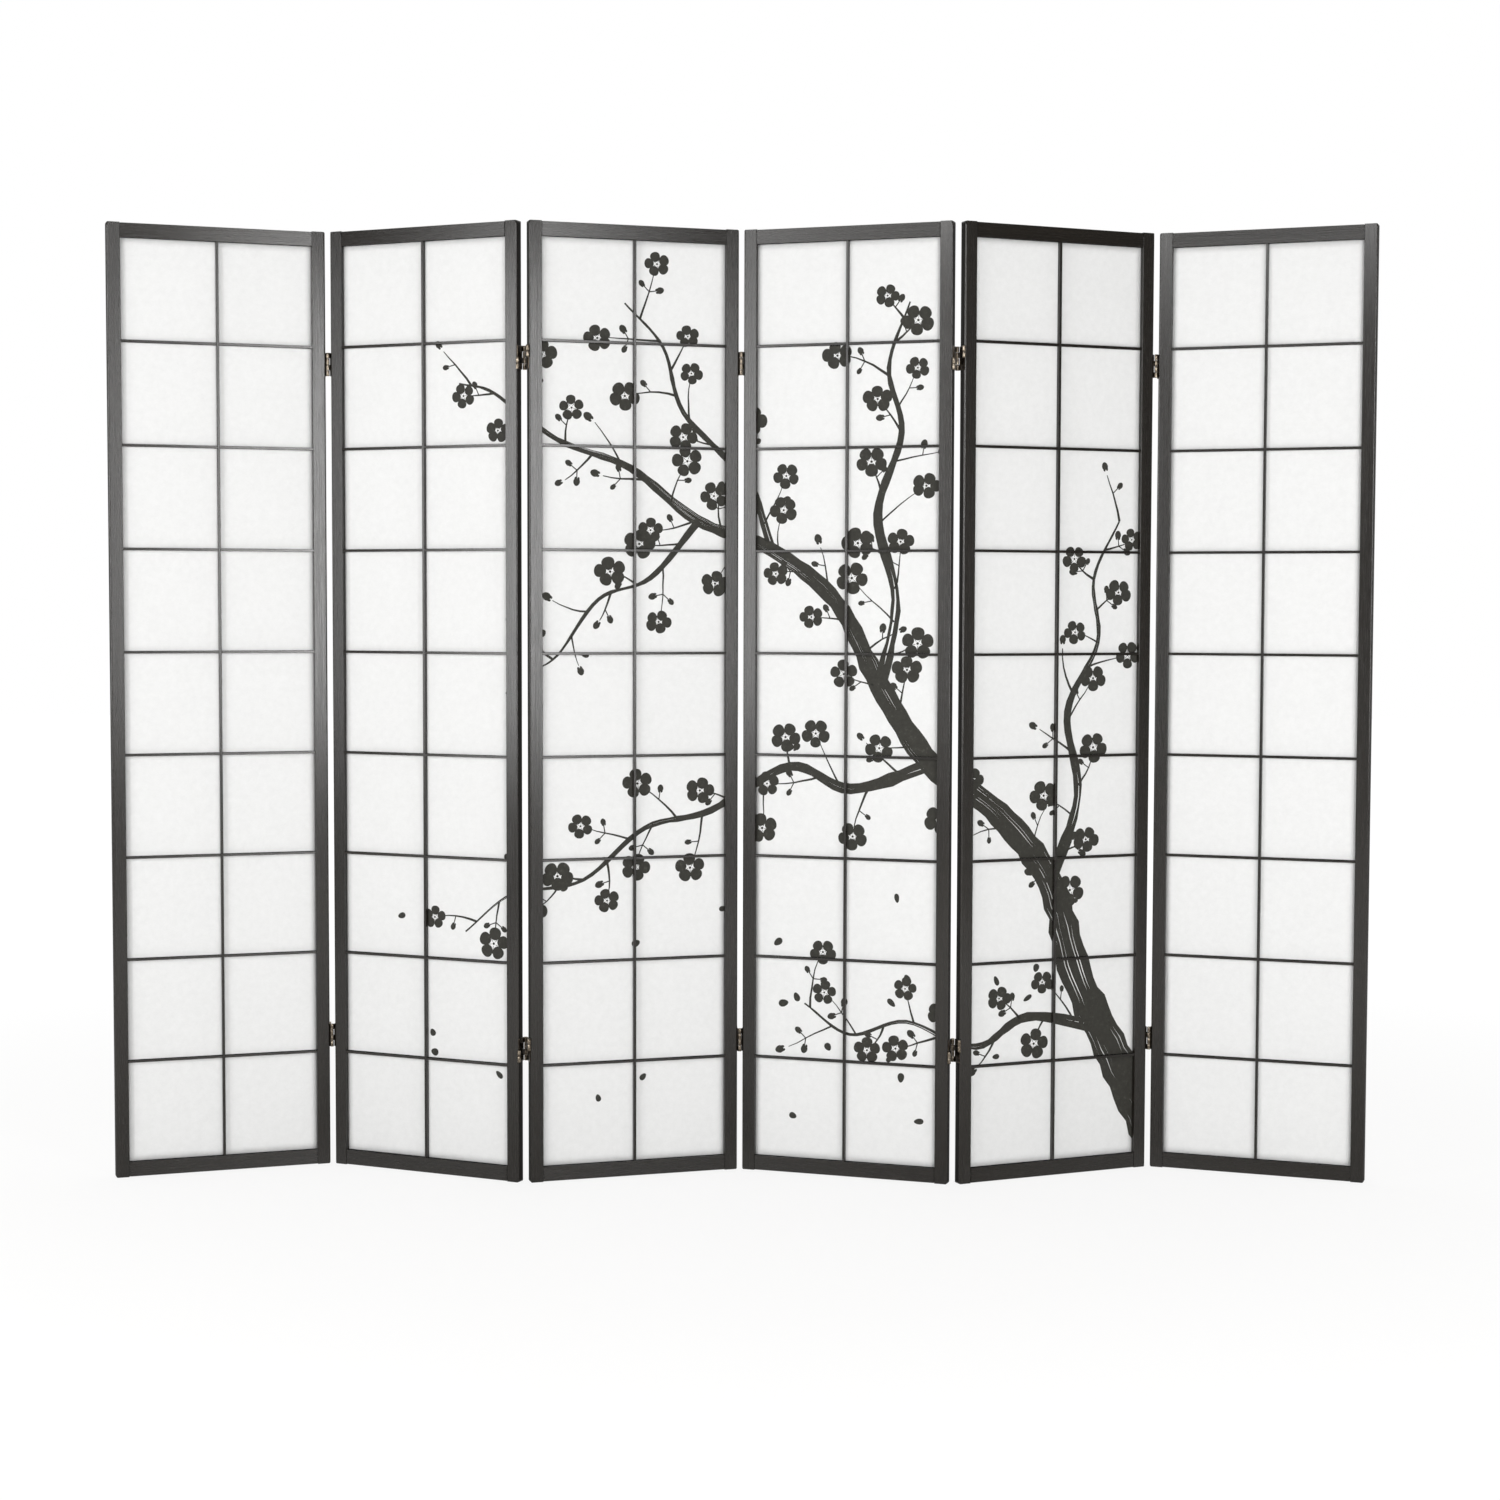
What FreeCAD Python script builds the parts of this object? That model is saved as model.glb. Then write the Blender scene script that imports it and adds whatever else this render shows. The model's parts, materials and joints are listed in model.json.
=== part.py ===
import FreeCAD, Part
import math
import os
import re
import Sketcher

# Six-panel folding screen: black wooden frames with a lattice and paper, on double-acting hinges.
# Each panel has its own frame: X along its width from the left edge, Y from the front face to the back,
# Z up from the foot. The standing row has +X to the right, the front towards -Y and +Z up.

# Driving dimensions, in millimetres and degrees
SIZES = [
    ("panel_width", 406, "one panel, edge to edge"),
    ("panel_height", 1784, "stile, foot to top"),
    ("panel_thickness", 18, "stiles and rails"),
    ("stile_width", 25, "face width of a stile"),
    ("rail_height", 27, "face height of a rail"),
    ("foot_height", 2, "stile below the bottom rail"),
    ("horn_height", 1, "stile above the top rail"),
    ("edge_radius", 3, "outer long edges of the stiles"),
    ("corner_radius", 4, "outer corners at the ends of the stiles"),
    ("tenon_length", 15, "rail tenon in the stile"),
    ("tenon_thickness", 6, "rail tenon, front to back"),
    ("tenon_shoulder", 5, "rail above and below its tenon"),
    ("glue_gap", 0.1, "round and behind a tenon"),
    ("bar_width", 4.8, "lattice bar across its face"),
    ("bar_recess", 1, "lattice behind the frame's front"),
    ("paper_depth", 9, "paper behind the frame's front"),
    ("paper_thickness", 0.3, "one sheet"),
    ("rabbet_width", 3, "ledge round the opening for the paper"),
    ("paper_clearance", 0.3, "paper edge to the rabbet's wall"),
    ("hinge_height", 44, "leaf, top to bottom"),
    ("hinge_from_end", 250, "middle of a hinge to the panel's end"),
    ("barrel_diameter", 6.6, "knuckles of leaves and links"),
    ("pin_diameter", 3.2, "hinge pin"),
    ("pin_clearance", 0.05, "pin to the bore of a link, all round"),
    ("pin_off_face", 3.8, "pin axis in front of or behind the panel"),
    ("leaf_thickness", 1.2, "leaf on the stile's edge"),
    ("link_thickness", 1.2, "plate between the two knuckles of a link"),
    ("knuckle_gap", 0.4, "between knuckles along the pin"),
    ("end_heading", 20.2, "turn of the two end panels from the row"),
    ("second_heading", 24.1, "turn of the second and fifth panels"),
    ("middle_heading", 18.6, "turn of the two middle panels"),
]
PANELS = 6
CELL_ROWS = 9
BARREL_SIDES = 12
HALF_TURN = 180

# Places that several pieces share, in the panel's frame
PIN_OFF_EDGE = "barrel_diameter / 2"
RIGHT_PIN_X = f"panel_width + {PIN_OFF_EDGE}"
FRONT_PIN_Y = "-pin_off_face"
BACK_PIN_Y = "panel_thickness + pin_off_face"
BOTTOM_LEDGE = "foot_height + rail_height"
TOP_LEDGE = "panel_height - horn_height - rail_height"
CELL_PITCH = f"({TOP_LEDGE} - ({BOTTOM_LEDGE}) + bar_width) / {CELL_ROWS}"
FIRST_BAR = f"{BOTTOM_LEDGE} + {CELL_PITCH} - bar_width"
BAR_DEPTH = "paper_depth - bar_recess"
BAR_MIDDLE = "(bar_recess + paper_depth) / 2"
KNUCKLE_HEIGHT = "hinge_height / 4 - knuckle_gap"
HINGE_FOOT = "hinge_from_end - hinge_height / 2"

doc = FreeCAD.newDocument("folding_screen")
sheet = doc.addObject("Spreadsheet::Sheet", "Sizes")
for row, (alias, value, note) in enumerate(SIZES, 1):
    sheet.set(f"A{row}", note)
    sheet.set(f"B{row}", str(value))
    sheet.setAlias(f"B{row}", alias)
doc.recompute()


def formula(text):
    """An expression on the sheet: every alias, a word with an underscore, gets the sheet's name."""
    return re.sub(r"[a-z]+(_[a-z]+)+", r"Sizes.\g<0>", text)


def bind(piece, **sizes):
    for name, text in sizes.items():
        piece.setExpression(name, formula(text))


def bind_corner(piece, corner):
    for axis, text in zip("xyz", corner):
        piece.setExpression(f"Placement.Base.{axis}", formula(text))


def size(alias):
    return float(sheet.get(alias))


def box(owner, kind, name, corner, extent):
    """A block with its lowest corner and its three sides given as formulas."""
    piece = owner.newObject(kind, name) if owner is not doc else doc.addObject(kind, name)
    bind_corner(piece, corner)
    bind(piece, **dict(zip(("Length", "Width", "Height"), extent)))
    return piece


def rod(name, radius, height, foot):
    """An upright with many flat sides, its edges at the radius."""
    piece = doc.addObject("Part::Prism", name)
    piece.Polygon = BARREL_SIDES
    bind_corner(piece, foot)
    bind(piece, Circumradius=radius, Height=height)
    return piece


def fused(name, pieces):
    piece = doc.addObject("Part::MultiFuse", name)
    piece.Shapes = pieces
    piece.Refine = True
    return piece


def mirrored(name, source, normal, axis, place):
    piece = doc.addObject("Part::Mirroring", name)
    piece.Source = source
    piece.Normal = normal
    piece.setExpression(f"Base.{axis}", formula(place))
    return piece


def group(name, pieces):
    piece = doc.addObject("Part::Compound", name)
    piece.Links = pieces
    return piece


def raised(name, source, height):
    piece = group(name, [source])
    bind_corner(piece, ("0", "0", height))
    return piece


def turned(name, source):
    """A copy on the panel's other edge: half a turn about the panel's upright middle line."""
    piece = group(name, [source])
    piece.Placement.Rotation = FreeCAD.Rotation(FreeCAD.Vector(0, 0, 1), HALF_TURN)
    bind_corner(piece, ("panel_width", "panel_thickness", "0"))
    return piece


def plane(body, role):
    return next(f for f in body.Origin.OriginFeatures if f.Role == role)


def sketch_on(body, name, role):
    sketch = body.newObject("Sketcher::SketchObject", name)
    sketch.AttachmentSupport = [(plane(body, role), "")]
    sketch.MapMode = "FlatFace"
    return sketch


def set_size(sketch, kind, places, text):
    """A dimension of the sketch, bound to the sheet."""
    value = sketch.evalExpression(formula(text))
    number = sketch.addConstraint(Sketcher.Constraint(kind, *places, float(value)))
    sketch.setExpression(f"Constraints[{number}]", formula(text))


# Points of a sketch's geometry, its start and its end, and the sketch's own origin
START, END = range(1, 3)
ORIGIN = (-1, 1)


def stile_profile(body):
    """Cross-section of the left stile: flat on the inner side, the two outer edges rounded."""
    sketch = sketch_on(body, "stile_section", "XY_Plane")
    width, depth, radius = size("stile_width"), size("panel_thickness"), size("edge_radius")
    point = FreeCAD.Vector
    up = point(0, 0, 1)
    front = sketch.addGeometry(Part.LineSegment(point(radius, 0, 0), point(width, 0, 0)))
    inner = sketch.addGeometry(Part.LineSegment(point(width, 0, 0), point(width, depth, 0)))
    back = sketch.addGeometry(Part.LineSegment(point(width, depth, 0), point(radius, depth, 0)))
    outer = sketch.addGeometry(Part.LineSegment(point(0, depth - radius, 0), point(0, radius, 0)))
    back_circle = Part.Circle(point(radius, depth - radius, 0), up, radius)
    back_round = sketch.addGeometry(Part.ArcOfCircle(back_circle, math.pi / 2, math.pi))
    front_circle = Part.Circle(point(radius, radius, 0), up, radius)
    front_round = sketch.addGeometry(Part.ArcOfCircle(front_circle, math.pi, 3 * math.pi / 2))
    for first, second in ((front, inner), (inner, back)):
        sketch.addConstraint(Sketcher.Constraint("Coincident", first, END, second, START))
    for arc, first, second in ((back_round, back, outer), (front_round, outer, front)):
        sketch.addConstraint(Sketcher.Constraint("Tangent", first, END, arc, START))
        sketch.addConstraint(Sketcher.Constraint("Tangent", arc, END, second, START))
    sketch.addConstraint(Sketcher.Constraint("Horizontal", front))
    sketch.addConstraint(Sketcher.Constraint("Vertical", inner))
    sketch.addConstraint(Sketcher.Constraint("Horizontal", back))
    sketch.addConstraint(Sketcher.Constraint("Equal", back_round, front_round))
    sketch.addConstraint(Sketcher.Constraint("PointOnObject", front, START, -1))
    sketch.addConstraint(Sketcher.Constraint("PointOnObject", outer, END, -2))
    set_size(sketch, "DistanceX", (*ORIGIN, front, END), "stile_width")
    set_size(sketch, "DistanceY", (inner, START, inner, END), "panel_thickness")
    set_size(sketch, "Radius", (front_round,), "edge_radius")
    return sketch


def corner_cutter(body, name, height, arc_from, sign):
    """The waste outside a rounded outer corner of the stile, drawn on the panel's front."""
    sketch = sketch_on(body, f"{name}_outline", "XZ_Plane")
    end, radius = float(sheet.evalExpression(formula(height))), size("corner_radius")
    point = FreeCAD.Vector
    middle = point(radius, end + sign * radius, 0)
    circle = Part.Circle(middle, point(0, 0, 1), radius)
    arc = sketch.addGeometry(Part.ArcOfCircle(circle, arc_from, arc_from + math.pi / 2))
    level = sketch.addGeometry(Part.LineSegment(point(0, end, 0), point(radius, end, 0)))
    upright = sketch.addGeometry(Part.LineSegment(point(0, end, 0), point(0, middle.y, 0)))
    at_level, at_upright = (END, START) if sign > 0 else (START, END)
    sketch.addConstraint(Sketcher.Constraint("Coincident", level, START, upright, START))
    sketch.addConstraint(Sketcher.Constraint("Tangent", level, END, arc, at_level))
    sketch.addConstraint(Sketcher.Constraint("Tangent", upright, END, arc, at_upright))
    sketch.addConstraint(Sketcher.Constraint("Horizontal", level))
    sketch.addConstraint(Sketcher.Constraint("PointOnObject", level, START, -2))
    set_size(sketch, "Radius", (arc,), "corner_radius")
    if sign > 0:
        sketch.addConstraint(Sketcher.Constraint("PointOnObject", level, START, -1))
    else:
        set_size(sketch, "DistanceY", (*ORIGIN, level, START), height)
    cut = body.newObject("PartDesign::Pocket", name)
    cut.Profile = sketch
    cut.Type = "ThroughAll"
    cut.Midplane = True
    return cut


def left_stile():
    """Upright with rounded outer edges, a stopped rabbet for the paper and two blind mortises."""
    body = doc.addObject("PartDesign::Body", "left_stile")
    pad = body.newObject("PartDesign::Pad", "stile_length")
    pad.Profile = stile_profile(body)
    bind(pad, Length="panel_height")
    corner_cutter(body, "foot_corner", "0 * panel_height", math.pi, 1)
    corner_cutter(body, "top_corner", "panel_height", math.pi / 2, -1)
    box(body, "PartDesign::SubtractiveBox", "stile_rabbet",
        ("stile_width - rabbet_width", "paper_depth", f"{BOTTOM_LEDGE} - rabbet_width"),
        ("rabbet_width",
         "panel_thickness - paper_depth",
         f"{TOP_LEDGE} - ({BOTTOM_LEDGE}) + 2 * rabbet_width"))
    for name, rail_foot in (("bottom_mortise", "foot_height"), ("top_mortise", TOP_LEDGE)):
        box(body, "PartDesign::SubtractiveBox", name,
            ("stile_width - tenon_length - glue_gap",
             "(panel_thickness - tenon_thickness) / 2 - glue_gap",
             f"{rail_foot} + tenon_shoulder - glue_gap"),
            ("tenon_length + glue_gap",
             "tenon_thickness + 2 * glue_gap",
             "rail_height - 2 * tenon_shoulder + 2 * glue_gap"))
    return body


def bottom_rail():
    """Rail between the stiles with a tenon at each end and the paper's rabbet along its inner back edge."""
    body = doc.addObject("PartDesign::Body", "bottom_rail")
    box(body, "PartDesign::AdditiveBox", "rail_body",
        ("stile_width", "0", "foot_height"),
        ("panel_width - 2 * stile_width", "panel_thickness", "rail_height"))
    box(body, "PartDesign::AdditiveBox", "rail_tenons",
        ("stile_width - tenon_length",
         "(panel_thickness - tenon_thickness) / 2",
         "foot_height + tenon_shoulder"),
        ("panel_width - 2 * stile_width + 2 * tenon_length",
         "tenon_thickness",
         "rail_height - 2 * tenon_shoulder"))
    box(body, "PartDesign::SubtractiveBox", "rail_rabbet",
        ("stile_width", "paper_depth", f"{BOTTOM_LEDGE} - rabbet_width"),
        ("panel_width - 2 * stile_width", "panel_thickness - paper_depth", "rabbet_width"))
    return body


def vertical_bar():
    """Long lattice bar, whole at the front and notched behind for the cross bars."""
    body = doc.addObject("PartDesign::Body", "vertical_bar")
    left = "(panel_width - bar_width) / 2"
    box(body, "PartDesign::AdditiveBox", "long_bar",
        (left, "bar_recess", BOTTOM_LEDGE),
        ("bar_width", BAR_DEPTH, f"{TOP_LEDGE} - ({BOTTOM_LEDGE})"))
    notch = box(body, "PartDesign::SubtractiveBox", "long_bar_notch",
                (left, BAR_MIDDLE, FIRST_BAR),
                ("bar_width", f"({BAR_DEPTH}) / 2", "bar_width"))
    notches = body.newObject("PartDesign::LinearPattern", "long_bar_notches")
    notches.Originals = [notch]
    notches.Direction = (plane(body, "Z_Axis"), [""])
    notches.Occurrences = CELL_ROWS - 1
    bind(notches, Length=f"{CELL_ROWS - 2} * {CELL_PITCH}")
    body.Tip = notches
    return body


def cross_bars():
    """The cross bars, each notched at the front in its middle, one row of cells apart."""
    bar = doc.addObject("PartDesign::Body", "cross_bar")
    box(bar, "PartDesign::AdditiveBox", "short_bar",
        ("stile_width", "bar_recess", FIRST_BAR),
        ("panel_width - 2 * stile_width", BAR_DEPTH, "bar_width"))
    box(bar, "PartDesign::SubtractiveBox", "short_bar_notch",
        ("(panel_width - bar_width) / 2", "bar_recess", FIRST_BAR),
        ("bar_width", f"({BAR_DEPTH}) / 2", "bar_width"))
    return [raised(f"cross_bar_{row + 1}", bar, f"{row} * {CELL_PITCH}") for row in range(CELL_ROWS - 1)]


def paper_sheet():
    """Paper against the back of the lattice and the rabbet's ledge."""
    inset = "stile_width - rabbet_width + paper_clearance"
    foot = f"{BOTTOM_LEDGE} - rabbet_width + paper_clearance"
    return box(doc, "Part::Box", "paper_sheet",
               (inset, "paper_depth", foot),
               (f"panel_width - 2 * ({inset})", "paper_thickness",
                f"{TOP_LEDGE} - ({BOTTOM_LEDGE}) + 2 * (rabbet_width - paper_clearance)"))


def right_leaf():
    """Leaf on the right edge: knuckle and pin low at the front, and high at the back."""
    plate = box(doc, "Part::Box", "leaf_plate",
                ("panel_width", "0", HINGE_FOOT),
                ("leaf_thickness", "panel_thickness", "hinge_height"))
    top_knuckle = "hinge_from_end + hinge_height / 4 + knuckle_gap"
    pieces = [plate]
    for name, pin_y, tab_y, foot, pin_foot in (
        ("front", FRONT_PIN_Y, FRONT_PIN_Y, HINGE_FOOT, HINGE_FOOT),
        ("back", BACK_PIN_Y, "panel_thickness", top_knuckle, "hinge_from_end + knuckle_gap / 2"),
    ):
        pieces.append(box(doc, "Part::Box", f"leaf_{name}_tab",
                          ("panel_width", tab_y, foot),
                          ("leaf_thickness", "pin_off_face", KNUCKLE_HEIGHT)))
        pieces.append(rod(f"leaf_{name}_knuckle", "barrel_diameter / 2", KNUCKLE_HEIGHT,
                          (RIGHT_PIN_X, pin_y, foot)))
        pieces.append(rod(f"leaf_{name}_pin", "pin_diameter / 2", "(hinge_height - knuckle_gap) / 2",
                          (RIGHT_PIN_X, pin_y, pin_foot)))
    return fused("right_leaf", pieces)


def lower_link():
    """Link along the right edge, just below the hinge's middle: a plate with a bored knuckle at each end."""
    foot = "hinge_from_end - hinge_height / 4 + knuckle_gap / 2"
    height = KNUCKLE_HEIGHT
    bore_radius = f"(pin_diameter / 2 + pin_clearance) / cos({HALF_TURN / BARREL_SIDES} deg)"
    plate = box(doc, "Part::Box", "link_plate",
                (f"{RIGHT_PIN_X} - link_thickness / 2", FRONT_PIN_Y, foot),
                ("link_thickness", "panel_thickness + 2 * pin_off_face", height))
    knuckles, bores = [], []
    for name, pin_y in (("front", FRONT_PIN_Y), ("back", BACK_PIN_Y)):
        middle = (RIGHT_PIN_X, pin_y, foot)
        knuckles.append(rod(f"link_{name}_knuckle", "barrel_diameter / 2", height, middle))
        bores.append(rod(f"link_{name}_bore", bore_radius, height, middle))
    link = doc.addObject("Part::Cut", "lower_link")
    link.Base = fused("link_blank", [plate, *knuckles])
    link.Tool = fused("link_bores", bores)
    return link


def both_heights(name, low_piece):
    """A hinge piece near the foot and its copy near the top of the panel."""
    return [low_piece, raised(f"{name}_at_top", low_piece, "panel_height - 2 * hinge_from_end")]


def on_other_edge(pieces):
    return [turned(f"{piece.Name}_on_left", piece) for piece in pieces]


# The pieces of one panel, in its own frame
stile = left_stile()
rail = bottom_rail()
frame_pieces = {
    "left_stile": [stile],
    "right_stile": [mirrored("right_stile", stile, FreeCAD.Vector(1, 0, 0), "x", "panel_width / 2")],
    "bottom_rail": [rail],
    "top_rail": [mirrored("top_rail", rail, FreeCAD.Vector(0, 0, 1), "z",
                          "(panel_height + foot_height - horn_height) / 2")],
    "vertical_bar": [vertical_bar()],
    "cross_bars": cross_bars(),
    "paper": [paper_sheet()],
}
leaves = both_heights("right_leaf", right_leaf())
low_links = both_heights("lower_link", lower_link())
high_links = [raised(f"{link.Name}_upper", link, "hinge_height / 4") for link in low_links]
left_leaves, left_low_links, left_high_links = (on_other_edge(p) for p in (leaves, low_links, high_links))


def hinge_pieces(number):
    """Leaves and links that stay with a panel: upper links on the odd panels, lower ones on the even."""
    right_links, left_links = (high_links, left_high_links) if number % 2 else (low_links, left_low_links)
    has_left, has_right = number > 1, number < PANELS
    return {
        "hinge_leaves": has_left * left_leaves + has_right * leaves,
        "hinge_links": has_left * left_links + has_right * right_links,
    }


def panel_placements():
    """Where each panel stands: a zigzag whose folds turn on the front pins and the back pins by turns."""
    end, second, middle = (size(f"{name}_heading") for name in ("end", "second", "middle"))
    headings = [end, -second, middle, -middle, second, -end]
    width, depth = size("panel_width"), size("panel_thickness")
    off_edge, off_face = size("barrel_diameter") / 2, size("pin_off_face")
    corner = FreeCAD.Vector(0, 0, 0)
    placements = []
    for number, heading in enumerate(headings, 1):
        place = FreeCAD.Placement(corner, FreeCAD.Rotation(FreeCAD.Vector(0, 0, 1), heading))
        placements.append(place)
        if number == PANELS:
            break
        pin_y = -off_face if number % 2 else depth + off_face
        pin = place.multVec(FreeCAD.Vector(width + off_edge, pin_y, 0))
        turn = FreeCAD.Rotation(FreeCAD.Vector(0, 0, 1), headings[number])
        corner = pin - turn.multVec(FreeCAD.Vector(-off_edge, pin_y, 0))
    return placements


# Every panel's pieces at their places in the row
nodes = []
for number, place in enumerate(panel_placements(), 1):
    for name, pieces in {**frame_pieces, **hinge_pieces(number)}.items():
        node = group(f"panel_{number}_{name}", pieces)
        node.Label = node.Name
        node.Placement = place
        nodes.append(node)
doc.recompute()

# The row stands on the ground with its middle at the origin
reach = FreeCAD.BoundBox()
for node in nodes:
    reach.add(node.Shape.BoundBox)
for node in nodes:
    node.Placement.Base -= FreeCAD.Vector(reach.Center.x, reach.Center.y, 0)
doc.recompute()

failed = [o.Label for o in doc.Objects if "Invalid" in o.State or "Error" in o.State]
failed += [n.Label for n in nodes if n.Shape.isNull() or not n.Shape.isValid() or not n.Shape.Solids]
if failed:
    raise RuntimeError(f"pieces that failed: {failed}")

os.makedirs("parts", exist_ok=True)
for node in nodes:
    Part.makeCompound(node.Shape.Solids).exportStep(f"parts/{node.Label}.step")
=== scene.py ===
import itertools
import json
import math
import random

import bmesh
import bpy
from bmesh.types import BMEdge, BMFace, BMVert
from mathutils import Matrix, Vector, noise


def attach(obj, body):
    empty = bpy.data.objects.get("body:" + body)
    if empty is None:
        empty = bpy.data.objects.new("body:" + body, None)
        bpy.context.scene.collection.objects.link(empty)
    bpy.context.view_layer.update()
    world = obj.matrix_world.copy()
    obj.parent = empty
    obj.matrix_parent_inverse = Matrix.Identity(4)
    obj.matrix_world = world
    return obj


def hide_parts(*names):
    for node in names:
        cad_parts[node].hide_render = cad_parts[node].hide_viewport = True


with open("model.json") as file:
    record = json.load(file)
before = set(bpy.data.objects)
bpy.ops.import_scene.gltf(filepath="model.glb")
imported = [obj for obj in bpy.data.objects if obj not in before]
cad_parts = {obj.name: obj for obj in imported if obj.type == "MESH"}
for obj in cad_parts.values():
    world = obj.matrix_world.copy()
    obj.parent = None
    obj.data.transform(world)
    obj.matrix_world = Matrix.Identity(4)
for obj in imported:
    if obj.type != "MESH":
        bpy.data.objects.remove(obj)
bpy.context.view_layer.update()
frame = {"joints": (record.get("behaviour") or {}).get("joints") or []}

# Six-panel folding screen: black lacquered frames, a slim lattice, white paper with an ink picture of
# a flowering branch, and aged bronze hinges. Lengths are in metres. Each panel is built in its own
# frame, X along its width from the left edge, Y from the front face to the back, Z up from the foot.

# Sizes of the wooden frame, as in the construction
PANELS = 6
PANEL_WIDTH, PANEL_HEIGHT, PANEL_DEPTH = 0.406, 1.784, 0.018
STILE_WIDTH, RAIL_HEIGHT = 0.025, 0.027
FOOT_HEIGHT, HORN_HEIGHT = 0.002, 0.001
BOTTOM_LEDGE = FOOT_HEIGHT + RAIL_HEIGHT
TOP_LEDGE = PANEL_HEIGHT - HORN_HEIGHT - RAIL_HEIGHT
RABBET = 0.003
OUTER_EDGE_RADIUS, END_CORNER_RADIUS = 0.003, 0.004

# Its small forms: steps in the roundings, arrises, the groove at each joint, the gap under the bottom
# rail, and how far from a stile's end an edge loop keeps the shading of its long faces flat
OUTER_EDGE_STEPS, END_CORNER_FACETS = 6, 5
ARRIS, ARRIS_STEPS = 0.0006, 2
JOINT_GROOVE, JOINT_DEPTH = 0.0011, 0.0015
RAIL_OFF_FLOOR = 0.0008
SHADING_LOOP = 0.007

# Sizes of the lattice and the paper
BAR_WIDTH, BAR_FRONT, BAR_ARRIS = 0.0048, 0.001, 0.0004
BAR_LEFT, BAR_RIGHT = (PANEL_WIDTH - BAR_WIDTH) / 2, (PANEL_WIDTH + BAR_WIDTH) / 2
CELL_ROWS = 9
CELL_PITCH = (TOP_LEDGE - BOTTOM_LEDGE + BAR_WIDTH) / CELL_ROWS
PAPER_FRONT, PAPER_THICKNESS, PAPER_CLEARANCE = 0.009, 0.0003, 0.0003
PAPER_GRID = (24, 108)
COCKLE, COCKLES_PER_METRE = 0.00015, 14
BAR_MIDDLE = (BAR_FRONT + PAPER_FRONT) / 2

# Sizes of the hinges
HINGE_HEIGHT, HINGE_FROM_END = 0.044, 0.250
HINGE_LEVELS = (HINGE_FROM_END, PANEL_HEIGHT - HINGE_FROM_END)
BARREL_RADIUS, KNUCKLE_RADIUS, PIN_RADIUS = 0.0033, 0.00322, 0.0016
BARREL_SIDES, RIM_EASE = 28, 0.12
PIN_OFF_FACE = 0.0038
LEAF_THICKNESS, LINK_THICKNESS, KNUCKLE_GAP = 0.0012, 0.0012, 0.0004
LEAF_CORNER, LEAF_CORNER_STEPS, TAB_OVERLAP = 0.0015, 4, 0.003
PLATE_EASE = LEAF_THICKNESS * 0.15
LINK_END = BARREL_RADIUS * 0.8
KNUCKLE_HEIGHT = HINGE_HEIGHT / 4 - KNUCKLE_GAP
PIN_X = PANEL_WIDTH + BARREL_RADIUS
FRONT_PIN_Y, BACK_PIN_Y = -PIN_OFF_FACE, PANEL_DEPTH + PIN_OFF_FACE
SCREW_RADIUS, SCREW_TOP_RADIUS, SCREW_SIDES = 0.0021, 0.0021 * 0.75, 24
SCREW_RISE, SCREW_LIFT = 0.0004, 0.014
SCREW_TURN_PER_METRE = 40
RECESS_WIDTH, RECESS_REACH, RECESS_DEPTH = 0.0005, 0.0011, 0.0003

# Limits that pick faces and edges: part of a normal that faces one way, angles, and nearness
FACING, SQUARE = 0.9, 0.98
FLAT_ANGLE, BENT_ANGLE, SHARP_ANGLE = 0.01, 0.1, math.radians(50)
NEAR, CUT_WITHIN, MERGE_WITHIN = 1e-6, 1e-7, 1e-5

# Range of each piece's place in the wood, and where most of a noise's values lie
PLANK_SHIFT = (0, 20)
NOISE_LOW, NOISE_HIGH = 0.3, 0.7

# How the row stands: each panel's turn from the row, in degrees
HEADINGS = (20.2, -24.1, 18.6, -18.6, 24.1, -20.2)
FOLD_PLACES = {joint["name"]: Vector(joint["pos_m"]) for joint in frame["joints"]}
HALF_TURN = Matrix.Translation((PANEL_WIDTH, PANEL_DEPTH, 0)) @ Matrix.Rotation(math.pi, 4, "Z")


def panel_matrix(number):
    """Where a panel stands, from its heading and a pin that it turns on."""
    fold = min(number, PANELS - 1)
    pin_x = PIN_X if number < PANELS else -BARREL_RADIUS
    pin_y = FRONT_PIN_Y if fold % 2 else BACK_PIN_Y
    turn = Matrix.Rotation(math.radians(HEADINGS[number - 1]), 4, "Z")
    return Matrix.Translation(FOLD_PLACES[f"fold_{fold}"] - turn @ Vector((pin_x, pin_y, 0))) @ turn


# Mesh helpers

def shaped(shape, *args):
    """A new mesh with one of the shapes below in it."""
    bm = bmesh.new()
    shape(bm, *args)
    return bm


def only(kind, geom):
    """The items of one kind among those that an operator returns."""
    return [item for item in geom if isinstance(item, kind)]


def block(bm, low, high):
    """A box between two corners."""
    low, high = Vector(low), Vector(high)
    verts = bmesh.ops.create_cube(bm, size=1)["verts"]
    bmesh.ops.scale(bm, vec=high - low, verts=verts)
    bmesh.ops.translate(bm, vec=(low + high) / 2, verts=verts)


def round_edges(bm, edges, radius, segments):
    rounded = bmesh.ops.bevel(bm, geom=edges, offset=radius, offset_type="OFFSET", segments=segments,
                              profile=0.5, affect="EDGES", material=-1, clamp_overlap=True)
    for face in rounded["faces"]:
        face.smooth = True


def near(a, b, within=NEAR):
    return abs(a - b) < within


def front_edges(bm, front):
    """The edges that lie in a plane facing the front."""
    return [edge for edge in bm.edges if all(near(vert.co.y, front) for vert in edge.verts)]


def sharp_edges(bm):
    return [edge for edge in bm.edges
            if len(edge.link_faces) == 2 and edge.calc_face_angle() > SHARP_ANGLE]


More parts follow.
